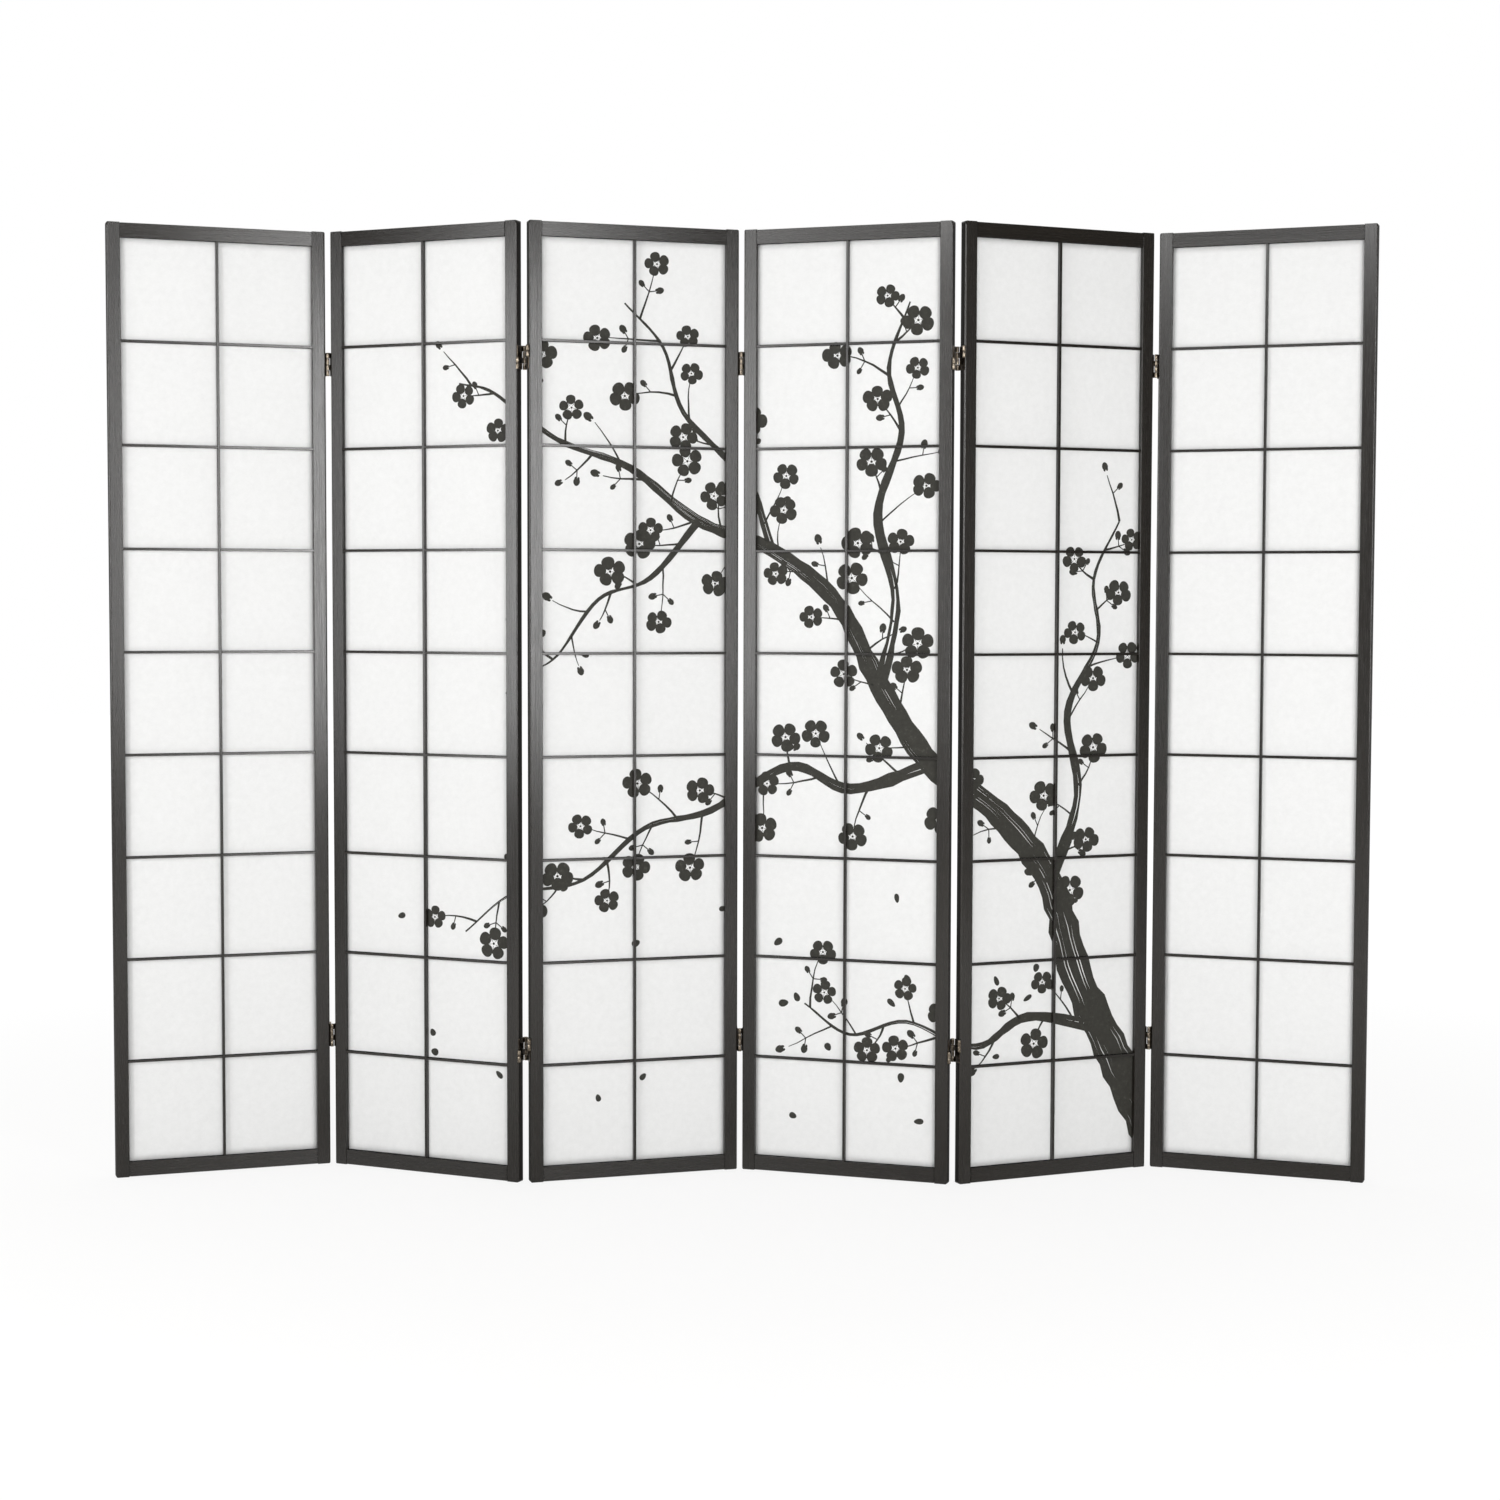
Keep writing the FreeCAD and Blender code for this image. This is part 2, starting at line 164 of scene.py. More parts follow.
def cut(bm, point, normal, drop=False):
    """Cuts every face at a plane, and with drop takes away what lies on the normal's side."""
    geom = bm.verts[:] + bm.edges[:] + bm.faces[:]
    return bmesh.ops.bisect_plane(bm, geom=geom, dist=CUT_WITHIN, plane_co=point, plane_no=normal,
                                  clear_outer=drop)["geom_cut"]


def slice_off(bm, point, normal):
    """Takes away what lies beyond a plane and closes the cut with a face."""
    rim = only(BMEdge, cut(bm, point, normal, drop=True))
    for face in bmesh.ops.edgeloop_fill(bm, edges=rim)["faces"]:
        face.smooth = True


def extruded(bm, faces, offset):
    """Pushes faces out by an offset and returns the faces at the new end.

    A lone face stays as the near end.
    """
    on_solid = any(len(edge.link_faces) > 1 for face in faces for edge in face.edges)
    geom = bmesh.ops.extrude_face_region(bm, geom=faces)["geom"]
    bmesh.ops.translate(bm, vec=offset, verts=only(BMVert, geom))
    if on_solid:
        bmesh.ops.delete(bm, geom=faces, context="FACES")
    return only(BMFace, geom)


def profile(bm, points):
    """A flat face through a few points."""
    return bm.faces.new([bm.verts.new(point) for point in points])


def add_separate(bm, separate):
    """Adds a mesh that was cut or bevelled on its own."""
    part = bpy.data.meshes.new("separate")
    separate.to_mesh(part)
    separate.free()
    bm.from_mesh(part)
    bpy.data.meshes.remove(part)


def lay_grain(mesh, axis, name):
    """Gives each point its place on the plank that it was cut from: along, across and through."""
    order = {"x": (0, 2, 1), "z": (2, 0, 1)}[axis]
    draw = random.Random(name)
    shift = Vector([draw.uniform(*PLANK_SHIFT) for _ in order])
    plank = mesh.attributes.new("plank", "FLOAT_VECTOR", "POINT")
    for vert, item in zip(mesh.vertices, plank.data):
        item.vector = shift + Vector([vert.co[i] for i in order])


def finished(bm, name, number, finishes, slot, nodes=(), matrix=None, grain=None):
    """Makes the mesh a piece at its place in the row, riding on its panel.

    grain is the axis of the wood's length. The wood's pattern reads where a point was on the plank.
    """
    bmesh.ops.recalc_face_normals(bm, faces=bm.faces)
    mesh = bpy.data.meshes.new(name)
    bm.to_mesh(mesh)
    bm.free()
    if grain:
        lay_grain(mesh, grain, name)
    mesh.transform(panel_matrix(number) @ (matrix or Matrix.Identity(4)))
    for finish in finishes:
        mesh.materials.append(finish)
    piece = bpy.data.objects.new(name, mesh)
    bpy.context.scene.collection.objects.link(piece)
    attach(piece, f"panel_{number}")
    if nodes:
        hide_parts(*nodes)


# Materials

class NodeTree:
    """Short ways to add nodes to a material or the world."""

    def __init__(self, tree):
        self.nodes, self.links = tree.nodes, tree.links

    def put(self, node, socket, value):
        if isinstance(value, bpy.types.NodeSocket):
            self.links.new(value, node.inputs[socket])
        else:
            node.inputs[socket].default_value = value

    def node(self, kind, settings=(), **inputs):
        added = self.nodes.new(f"ShaderNode{kind}")
        for key, value in dict(settings).items():
            setattr(added, key, value)
        for key, value in inputs.items():
            self.put(added, key.replace("_", " "), value)
        return added

    def noise(self, vector, scale, detail, roughness=0.5):
        inputs = {"Vector": vector, "Scale": scale, "Detail": detail, "Roughness": roughness}
        return self.node("TexNoise", **inputs).outputs["Fac"]

    def stretched_noise(self, vector, per_metre, detail, roughness):
        """A noise with its own number of features per metre along each axis."""
        stretched = self.node("Mapping", Vector=vector, Scale=per_metre).outputs["Vector"]
        return self.noise(stretched, 1.0, detail, roughness)

    def ramp(self, value, *stops):
        """A colour ramp through (position, colour) stops."""
        added = self.node("ValToRGB", Fac=value)
        elements = added.color_ramp.elements
        while len(elements) < len(stops):
            elements.new(1.0)
        for element, (position, colour) in zip(elements, stops):
            element.position = position
            element.color = (*colour, 1.0)
        return added.outputs["Color"]

    def map_range(self, value, start, end, low=0.0, high=1.0):
        """Maps start to end onto low to high, and holds these beyond them."""
        inputs = {"Value": value, "From_Min": start, "From_Max": end, "To_Min": low, "To_Max": high}
        return self.node("MapRange", **inputs).outputs["Result"]

    def spread(self, value, low, high):
        """A noise value, spread from low to high."""
        return self.map_range(value, NOISE_LOW, NOISE_HIGH, low, high)

    def pair(self, kind, operation, first, second):
        added = self.node(kind, {"operation": operation})
        self.put(added, 0, first)
        self.put(added, 1, second)
        return added.outputs[0]

    def maths(self, operation, first, second):
        return self.pair("Math", operation, first, second)

    def cross(self, first, second):
        return self.pair("VectorMath", "CROSS_PRODUCT", first, second)

    def bump(self, height, distance, strength):
        inputs = {"Height": height, "Distance": distance, "Strength": strength}
        return self.node("Bump", **inputs).outputs["Normal"]

    def rays_shown_white(self, mirror_share):
        """1 for rays from the camera and through the paper, and a share of it for mirror rays."""
        path = self.node("LightPath").outputs
        in_mirror = self.maths("MULTIPLY", path["Is Glossy Ray"], mirror_share)
        shown = self.maths("MAXIMUM", path["Is Camera Ray"], path["Is Transmission Ray"])
        return self.maths("MAXIMUM", shown, in_mirror)


class Shader(NodeTree):
    """A material with one Principled shader, and a second one mixed into it where wanted."""

    def __init__(self, name):
        self.material = bpy.data.materials.new(name)
        self.material.use_nodes = True
        super().__init__(self.material.node_tree)
        self.surface = self.nodes["Principled BSDF"]

    def surface_sockets(self, **inputs):
        for key, value in inputs.items():
            self.put(self.surface, key.replace("_", " "), value)

    def place(self):
        return self.node("TexCoord").outputs["Object"]

    def plank(self):
        return self.node("Attribute", {"attribute_name": "plank"}).outputs["Vector"]

    def mix_in(self, other, share):
        mixed = self.node("MixShader", Fac=share)
        self.links.new(self.surface.outputs["BSDF"], mixed.inputs[1])
        self.links.new(other, mixed.inputs[2])
        self.links.new(mixed.outputs["Shader"], self.nodes["Material Output"].inputs["Surface"])


# Features of the wood per metre along, across and through the plank, and of the paper and bronze
# along X, Y and Z
STREAKS, PORES, BANDS = (5, 520, 520), (30, 1500, 1500), (1.6, 60, 60)
FIBRES, BRUSH_MARKS = (240, 240, 900), (2600, 2600, 160)
UP = (0, 0, 1)


def lacquered_wood(name, upright):
    """Black satin lacquer, so thin that the grain streaks its shine and spreads it across the grain."""
    shader = Shader(name)
    plank = shader.plank()
    streaks = shader.stretched_noise(plank, STREAKS, detail=4.0, roughness=0.6)
    pores = shader.stretched_noise(plank, PORES, detail=2.0, roughness=0.5)
    bands = shader.stretched_noise(plank, BANDS, detail=2.0, roughness=0.5)
    piece = shader.noise(plank, scale=0.15, detail=0.0)
    tone = shader.maths("MULTIPLY", shader.spread(streaks, 0.5, 1.0), shader.spread(bands, 0.7, 1.0))
    tone = shader.maths("MULTIPLY", tone, shader.spread(piece, 0.75, 1.05))
    colour = shader.ramp(tone, (0.2, (0.0053, 0.0041, 0.0029)), (0.65, (0.0100, 0.0080, 0.0058)),
                         (1.0, (0.0175, 0.0146, 0.0112)))
    rough = shader.maths("ADD", shader.spread(streaks, 0.03, -0.03), shader.spread(pores, 0.295, 0.215))
    rough = shader.maths("ADD", rough, shader.spread(piece, 0.015, -0.015))
    height = shader.maths("ADD", shader.maths("MULTIPLY", streaks, 0.7),
                          shader.maths("MULTIPLY", pores, 0.3))
    facing = shader.node("NewGeometry").outputs["Normal"]
    level = shader.cross(facing, UP)
    shader.surface_sockets(Base_Color=colour, Roughness=rough, Specular_IOR_Level=0.6, Anisotropic=0.63,
                           Tangent=level if upright else shader.cross(facing, level),
                           Normal=shader.bump(height, distance=0.00012, strength=0.6))
    return shader.material


def shaded_edge_finish():
    """Black on the stiles' outer edges, darker and duller than their faces as painted shade, with the
    grain just showing.
    """
    shader = Shader("edge_painted_shade")
    streaks = shader.stretched_noise(shader.plank(), STREAKS, detail=4.0, roughness=0.6)
    colour = shader.ramp(shader.spread(streaks, 0.0, 1.0), (0.0, (0.004, 0.0035, 0.003)),
                         (1.0, (0.011, 0.0095, 0.008)))
    shader.surface_sockets(Base_Color=colour, Roughness=shader.spread(streaks, 0.72, 0.58),
                           Specular_IOR_Level=0.12,
                           Normal=shader.bump(streaks, distance=0.0001, strength=0.6))
    return shader.material


def white_paper():
    """Thin white paper with faint long fibres and clouds, which lets some light through."""
    shader = Shader("white_fibre_paper")
    place = shader.place()
    clouds = shader.noise(place, scale=90.0, detail=4.0, roughness=0.6)
    fibres = shader.stretched_noise(place, FIBRES, detail=3.0, roughness=0.7)
    tone = shader.maths("MULTIPLY", shader.spread(clouds, 0.85, 1.0), shader.spread(fibres, 0.9, 1.0))
    colour = shader.ramp(tone, (0.7, (0.749, 0.750, 0.746)), (1.0, (0.825, 0.826, 0.823)))
    shader.surface_sockets(Base_Color=colour, Roughness=0.9, Specular_IOR_Level=0.2,
                           Normal=shader.bump(fibres, distance=0.0001, strength=0.5))
    shader.mix_in(shader.node("BsdfTranslucent", Color=colour).outputs["BSDF"], share=0.38)
    return shader.material


def bronze_in_painted_light(name, dark, middle, bright):
    """Dark bronze, rubbed lighter in patches, with fine upright brush marks."""
    shader = Shader(name)
    place = shader.place()
    patches = shader.noise(place, scale=260.0, detail=4.0, roughness=0.6)
    marks = shader.stretched_noise(place, BRUSH_MARKS, detail=2.0, roughness=0.5)
    colour = shader.ramp(shader.spread(patches, 0.0, 1.0), (0.0, dark), (0.6, middle), (1.0, bright))
    shader.surface_sockets(Base_Color=colour, Metallic=1.0, Roughness=shader.spread(marks, 0.22, 0.40),
                           Normal=shader.bump(marks, distance=0.00004, strength=0.5))
    return shader.material


def charcoal_ink():
    """Printed ink, a little thinner in places so that it turns lighter there."""
    shader = Shader("charcoal_ink")
    cover = shader.noise(shader.place(), scale=140.0, detail=5.0, roughness=0.65)
    colour = shader.ramp(shader.spread(cover, 0.0, 1.0), (0.0, (0.026, 0.025, 0.021)),
                         (0.75, (0.034, 0.033, 0.028)), (1.0, (0.054, 0.052, 0.045)))
    shader.surface_sockets(Base_Color=colour, Roughness=0.75, Specular_IOR_Level=0.25)
    return shader.material


UPRIGHT_WOOD = lacquered_wood("black_lacquered_upright", True)
LEVEL_WOOD = lacquered_wood("black_lacquered_rail", False)
EDGE_PAINTED_SHADE = shaded_edge_finish()
PAPER, INK = white_paper(), charcoal_ink()
# Shaded and lit copies of one bronze: the hinges' sheet and screws darker as painted shade, the
# knuckles lighter as a painted highlight.
SHEET_BRONZE_PAINTED_SHADE = bronze_in_painted_light("bronze_in_painted_light", (0.018, 0.014, 0.010), (0.062, 0.049, 0.036),
                           (0.20, 0.165, 0.125))
KNUCKLE_BRONZE_PAINTED_HIGHLIGHT = bronze_in_painted_light("bronze_painted_highlight", (0.07, 0.056, 0.043), (0.24, 0.2, 0.155),
                             (0.46, 0.4, 0.32))

# Finishes by piece. A second one is for the stiles' outer edges, darker as painted shade, and the
# hinges' knuckles, lighter as a painted highlight.
STILE_FINISH = (UPRIGHT_WOOD, EDGE_PAINTED_SHADE)
HINGE_FINISH = (SHEET_BRONZE_PAINTED_SHADE, KNUCKLE_BRONZE_PAINTED_HIGHLIGHT)
SECOND_FINISH = 1


# The wooden frame

def left_stile(bm):
    """Upright with a stopped rabbet for the paper, rounded on its outer edges and outer corners."""
    rabbet_foot, middle = BOTTOM_LEDGE - RABBET, PANEL_HEIGHT / 2
    rabbet_x = STILE_WIDTH - RABBET
    block(bm, (0, 0, 0), (STILE_WIDTH, PANEL_DEPTH, rabbet_foot))
    cut(bm, (rabbet_x, 0, 0), (1, 0, 0))
    cut(bm, (0, PAPER_FRONT, 0), (0, 1, 0))
    full = []
    for face in bm.faces:
        centre = face.calc_center_median()
        if face.normal.z > FACING and (centre.x < rabbet_x or centre.y < PAPER_FRONT):
            full.append(face)
    ends = extruded(bm, full, (0, 0, middle - rabbet_foot))
    bmesh.ops.delete(bm, geom=ends, context="FACES")
    bmesh.ops.translate(bm, vec=(0, 0, -middle), verts=bm.verts)
    bmesh.ops.mirror(bm, geom=bm.verts[:] + bm.edges[:] + bm.faces[:], matrix=Matrix.Identity(4),
                     merge_dist=MERGE_WITHIN, axis="Z")
    bmesh.ops.translate(bm, vec=(0, 0, middle), verts=bm.verts)
    bmesh.ops.dissolve_limit(bm, angle_limit=FLAT_ANGLE, verts=bm.verts, edges=bm.edges)
    bmesh.ops.recalc_face_normals(bm, faces=bm.faces)
    horn = [vert for vert in bm.verts if near(vert.co.z, PANEL_HEIGHT - rabbet_foot)]
    bmesh.ops.translate(bm, vec=(0, 0, FOOT_HEIGHT - HORN_HEIGHT), verts=horn)
    upright = [edge for edge in bm.edges if edge.calc_length() > middle and len(edge.link_faces) == 2]
    outer = [edge for edge in upright if near(edge.verts[0].co.x, 0)]
    inner = [edge for edge in upright if edge not in outer and edge.calc_face_angle() > BENT_ANGLE]
    round_edges(bm, outer, OUTER_EDGE_RADIUS, OUTER_EDGE_STEPS)
    round_edges(bm, [edge for edge in inner if edge.is_valid], ARRIS, ARRIS_STEPS)
    for step in range(1, END_CORNER_FACETS):
        angle = math.pi / 2 * step / END_CORNER_FACETS
        out, up = -math.cos(angle), math.sin(angle)
        reach = END_CORNER_RADIUS
        slice_off(bm, (reach + reach * out, 0, reach - reach * up), (out, 0, -up))
        slice_off(bm, (reach + reach * out, 0, PANEL_HEIGHT - reach + reach * up), (out, 0, up))
    for level in (SHADING_LOOP, PANEL_HEIGHT - SHADING_LOOP):
        cut(bm, (0, 0, level), (0, 0, 1))
    # The outer edge faces take the darker, duller finish: painted shade.
    for face in bm.faces:
        if face.normal.x < -SQUARE and near(face.calc_center_median().x, 0, ARRIS):
            face.material_index = SECOND_FINISH


def right_stile(bm):
    """The left stile, mirrored to the panel's right side."""
    left_stile(bm)
    bmesh.ops.scale(bm, vec=(-1, 1, 1), verts=bm.verts)
    bmesh.ops.translate(bm, vec=(PANEL_WIDTH, 0, 0), verts=bm.verts)
    bmesh.ops.reverse_faces(bm, faces=bm.faces)


def rail(bm, low, high, ledge_up):
    """Rail between the stiles, with a fine groove at each joint and the paper's rabbet behind."""
    ledge, far = (high, low) if ledge_up else (low, high)
    step = ledge - RABBET if ledge_up else ledge + RABBET
    start = STILE_WIDTH + JOINT_GROOVE
    section = [(0, far), (0, ledge), (PAPER_FRONT, ledge), (PAPER_FRONT, step),
               (PANEL_DEPTH, step), (PANEL_DEPTH, far)]
    face = profile(bm, [(start, y, z) for y, z in section])
    extruded(bm, [face], (PANEL_WIDTH - 2 * start, 0, 0))
    bmesh.ops.recalc_face_normals(bm, faces=bm.faces)
    long_edges = [edge for edge in sharp_edges(bm) if edge.calc_length() > PANEL_WIDTH / 2]
    round_edges(bm, long_edges, ARRIS, ARRIS_STEPS)
    for end in [face for face in bm.faces if abs(face.normal.x) > FACING]:
        outwards = Vector((math.copysign(JOINT_GROOVE, end.normal.x), 0, 0))
        bmesh.ops.inset_region(bm, faces=[end], thickness=JOINT_DEPTH, use_even_offset=True)
        extruded(bm, [end], outwards)


def bar_foot(row):
    return BOTTOM_LEDGE + row * CELL_PITCH - BAR_WIDTH


def vertical_bar(bm):
    """Long lattice bar, whole in front and notched behind for the cross bars."""
    block(bm, (BAR_LEFT, BAR_FRONT, BOTTOM_LEDGE), (BAR_RIGHT, BAR_MIDDLE, TOP_LEDGE))
    for row in range(1, CELL_ROWS):
        for level in (bar_foot(row), bar_foot(row) + BAR_WIDTH):
            cut(bm, (0, 0, level), (0, 0, 1))
    backs = [face for face in bm.faces
             if face.normal.y > FACING and face.calc_area() > 2 * BAR_WIDTH ** 2]
    extruded(bm, backs, (0, PAPER_FRONT - BAR_MIDDLE, 0))
    bmesh.ops.dissolve_limit(bm, angle_limit=FLAT_ANGLE, verts=bm.verts, edges=bm.edges)
    bmesh.ops.recalc_face_normals(bm, faces=bm.faces)
    round_edges(bm, front_edges(bm, BAR_FRONT), BAR_ARRIS, ARRIS_STEPS)


def cross_bars(bm):
    """Short lattice bars, each notched in front where it passes behind the long one."""
    near_end, far_end = STILE_WIDTH, PANEL_WIDTH - STILE_WIDTH
    outline = [(near_end, BAR_FRONT), (BAR_LEFT, BAR_FRONT), (BAR_LEFT, BAR_MIDDLE),
               (BAR_RIGHT, BAR_MIDDLE), (BAR_RIGHT, BAR_FRONT), (far_end, BAR_FRONT),
               (far_end, PAPER_FRONT), (near_end, PAPER_FRONT)]
    for row in range(1, CELL_ROWS):
        face = profile(bm, [(x, y, bar_foot(row)) for x, y in outline])
        extruded(bm, [face], (0, 0, BAR_WIDTH))
    bmesh.ops.recalc_face_normals(bm, faces=bm.faces)
    round_edges(bm, front_edges(bm, BAR_FRONT), BAR_ARRIS, ARRIS_STEPS)


def paper_sheet(bm):
    """One sheet behind the lattice, cockled a hair's breadth between the bars."""
    inset = STILE_WIDTH - RABBET + PAPER_CLEARANCE
    low, high = BOTTOM_LEDGE - RABBET + PAPER_CLEARANCE, TOP_LEDGE + RABBET - PAPER_CLEARANCE
    bmesh.ops.create_grid(bm, x_segments=PAPER_GRID[0], y_segments=PAPER_GRID[1], size=0.5)
    bmesh.ops.scale(bm, vec=(PANEL_WIDTH - 2 * inset, high - low, 1), verts=bm.verts)
    bmesh.ops.rotate(bm, matrix=Matrix.Rotation(math.pi / 2, 3, "X"), verts=bm.verts)
    bmesh.ops.translate(bm, vec=(PANEL_WIDTH / 2, PAPER_FRONT, (low + high) / 2), verts=bm.verts)
    for vert in bm.verts:
        swell = noise.noise(Vector((vert.co.x, 0, vert.co.z)) * COCKLES_PER_METRE)
        vert.co.y += COCKLE * (0.5 + 0.5 * swell)
    for face in bm.faces:
        face.smooth = True
    bmesh.ops.recalc_face_normals(bm, faces=bm.faces)
    geom = bmesh.ops.extrude_face_region(bm, geom=bm.faces[:], use_keep_orig=True)["geom"]
    bmesh.ops.translate(bm, vec=(0, PAPER_THICKNESS, 0), verts=only(BMVert, geom))


# The hinges

def barrel(bm, y, foot):
    """A rolled knuckle, its rims eased and the pin's end showing in both."""
    verts = bmesh.ops.create_cone(bm, cap_ends=True, segments=BARREL_SIDES, radius1=KNUCKLE_RADIUS,
                                  radius2=KNUCKLE_RADIUS, depth=KNUCKLE_HEIGHT)["verts"]
    bmesh.ops.translate(bm, vec=(PIN_X, y, foot + KNUCKLE_HEIGHT / 2), verts=verts)
    faces = {face for vert in verts for face in vert.link_faces}
    caps = [face for face in faces if abs(face.normal.z) > FACING]
    # Knuckles take the lighter bronze: a painted highlight.
    for face in faces:
        face.material_index = SECOND_FINISH
        face.smooth = face not in caps
    rims = [edge for cap in caps for edge in cap.edges]
    for cap in caps:
        bmesh.ops.inset_region(bm, faces=[cap], thickness=KNUCKLE_RADIUS - PIN_RADIUS,
                               use_even_offset=True)
        bmesh.ops.inset_region(bm, faces=[cap], thickness=PIN_RADIUS * RIM_EASE,
                               depth=-PIN_RADIUS * RIM_EASE)
    round_edges(bm, rims, KNUCKLE_RADIUS * RIM_EASE, ARRIS_STEPS)


def plate(bm, low, high, corner_radius=0.0):
    """Sheet metal across X with eased edges, and rounded corners where wanted."""
    separate = bmesh.new()
    block(separate, low, high)
    across = [edge for edge in separate.edges if near(edge.verts[0].co.y, edge.verts[1].co.y)
              and near(edge.verts[0].co.z, edge.verts[1].co.z)]
    if corner_radius:
        round_edges(separate, across, corner_radius, LEAF_CORNER_STEPS)
    round_edges(separate, sharp_edges(separate), PLATE_EASE, ARRIS_STEPS)
    add_separate(bm, separate)


def leaves(bm):
    """Leaves on the panel's right edge, each with a knuckle low in front and high behind."""
    inner, outer = PANEL_WIDTH, PANEL_WIDTH + LEAF_THICKNESS
    for middle in HINGE_LEVELS:
        foot, top = middle - HINGE_HEIGHT / 2, middle + HINGE_HEIGHT / 2
        plate(bm, (inner, 0, foot), (outer, PANEL_DEPTH, top), LEAF_CORNER)
        plate(bm, (inner, FRONT_PIN_Y, foot), (outer, TAB_OVERLAP, foot + KNUCKLE_HEIGHT))
        plate(bm, (inner, PANEL_DEPTH - TAB_OVERLAP, top - KNUCKLE_HEIGHT), (outer, BACK_PIN_Y, top))
        barrel(bm, FRONT_PIN_Y, foot)
        barrel(bm, BACK_PIN_Y, top - KNUCKLE_HEIGHT)


def links(bm, above_middle):
    """Links between the front and the back pins, half way between the leaves."""
    near_side, far_side = PIN_X - LINK_THICKNESS / 2, PIN_X + LINK_THICKNESS / 2
    for middle in HINGE_LEVELS:
        foot = middle + above_middle
        plate(bm, (near_side, FRONT_PIN_Y + LINK_END, foot),
              (far_side, BACK_PIN_Y - LINK_END, foot + KNUCKLE_HEIGHT))
        for pin_y in (FRONT_PIN_Y, BACK_PIN_Y):
            barrel(bm, pin_y, foot)


def screw_head(bm, level):
    """A low head on the leaf with a cross recess, turned by its height so that a leaf's two differ."""
    head = bmesh.new()
    bmesh.ops.create_cone(head, cap_ends=True, segments=SCREW_SIDES, radius1=SCREW_RADIUS,
                          radius2=SCREW_TOP_RADIUS, depth=SCREW_RISE)
    for side in (-1, 1):
        cut(head, (side * RECESS_WIDTH / 2, 0, 0), (1, 0, 0))
        cut(head, (0, side * RECESS_WIDTH / 2, 0), (0, 1, 0))
        for way in ((1, 0, 0), (0, 1, 0)):
            cut(head, Vector(way) * side * RECESS_REACH, way)
    recess = []
    for face in head.faces:
        across, up, _ = map(abs, face.calc_center_median())
        in_cross = max(across, up) < RECESS_REACH and min(across, up) < RECESS_WIDTH / 2
        if face.normal.z > FACING and in_cross:
            recess.append(face)
    extruded(head, recess, (0, 0, -RECESS_DEPTH))
    turn = Matrix.Rotation(SCREW_TURN_PER_METRE * level, 3, "Z")
    bmesh.ops.rotate(head, matrix=turn, verts=head.verts)
    bmesh.ops.rotate(head, matrix=Matrix.Rotation(math.pi / 2, 3, "Y"), verts=head.verts)
    seat = (PANEL_WIDTH + LEAF_THICKNESS + SCREW_RISE / 2, PANEL_DEPTH / 2, level)
    bmesh.ops.translate(head, vec=seat, verts=head.verts)
    add_separate(bm, head)


def screws(bm):
    for middle in HINGE_LEVELS:
        for lift in (-SCREW_LIFT, SCREW_LIFT):
            screw_head(bm, middle + lift)


# The ink picture, drawn on the row laid flat: across the panels and up, in metres

PANEL_STEP = PANEL_WIDTH + 2 * BARREL_RADIUS
INK_THICKNESS, INK_LAYER = 0.00004, 0.0000015
INK_LAYER_COUNT = 40
INK_LAYERS = itertools.cycle(range(INK_LAYER_COUNT))
INK_PANELS = (2, 3, 4, 5)
PICTURE_SEED = 7

# Limbs of the branch: across, up and breadth at each bend, in millimetres
LIMBS = (
    ((2090, 40, 92), (1990, 220, 80), (1905, 380, 66), (1845, 560, 58), (1735, 690, 50),
     (1605, 785, 44), (1505, 930, 38), (1420, 1085, 32), (1290, 1185, 26), (1150, 1240, 20),
     (1020, 1335, 15), (880, 1385, 10), (765, 1470, 6), (690, 1490, 3)),
    ((1505, 925, 26), (1535, 1090, 21), (1500, 1250, 16), (1545, 1400, 12), (1520, 1520, 8),
     (1560, 1640, 3)),
    ((1610, 785, 26), (1450, 735, 20), (1330, 775, 17), (1180, 690, 13), (1050, 660, 10),
     (930, 565, 7), (800, 540, 5), (700, 465, 3)),
    ((1845, 555, 26), (1905, 720, 19), (1880, 880, 14), (1945, 1010, 10), (1935, 1130, 7),
     (1990, 1240, 3)),
    ((1295, 1180, 18), (1240, 1320, 13), (1125, 1440, 9), (1085, 1560, 6), (1010, 1640, 3)),
    ((1155, 1238, 13), (1060, 1130, 9), (960, 1090, 7), (880, 985, 5), (825, 955, 3)),
    ((1965, 275, 26), (1800, 305, 17), (1690, 255, 12), (1560, 300, 8), (1450, 270, 6),
     (1360, 325, 3)),
)
MILLIMETRES = 1000
LIMB_STEPS, LIMB_UNEVEN = 8, (0.86, 1.12)

# The dry brush: breadth of one hair's stroke, its share over the next, how far it thins and how fast
HAIR_BREADTH, HAIR_OVERLAP, HAIR_THINNING = 0.011, 1.12, 0.9
WANDER_ALONG, WANDER_HAIR, WANDER_LIMB = 9, 3.7, 11

# Twigs: the gap between them, the limb too broad for them, and the range of each measure
TWIG_GAP, TRUNK_BREADTH = 0.048, 0.06
TWIG_LENGTH, TWIG_BREADTH, TWIG_LEAN = (0.05, 0.12), (0.0035, 0.0055), (0.6, 1.2)
TWIG_STEPS, TWIG_TAPER, TWIG_BEND, TWIG_WOBBLE = 6, 0.13, (-0.5, 0.6), (-0.12, 0.12)
ANY_TURN = (0, 6)
BLOSSOM_CHANCE, BLOSSOM_RADIUS, BLOSSOM_SQUEEZE = 0.72, (0.022, 0.032), (0.75, 1.0)
END_BUD = (0.011, 0.016)
SIDE_BUD_CHANCE, SIDE_BUD, SIDE_BUD_STEP = 0.55, (0.009, 0.014), 3
STALK_LENGTH, STALK_LEAN, STALK_ROOT, STALK_TIP = 0.022, 1.1, 0.0022, 0.0018

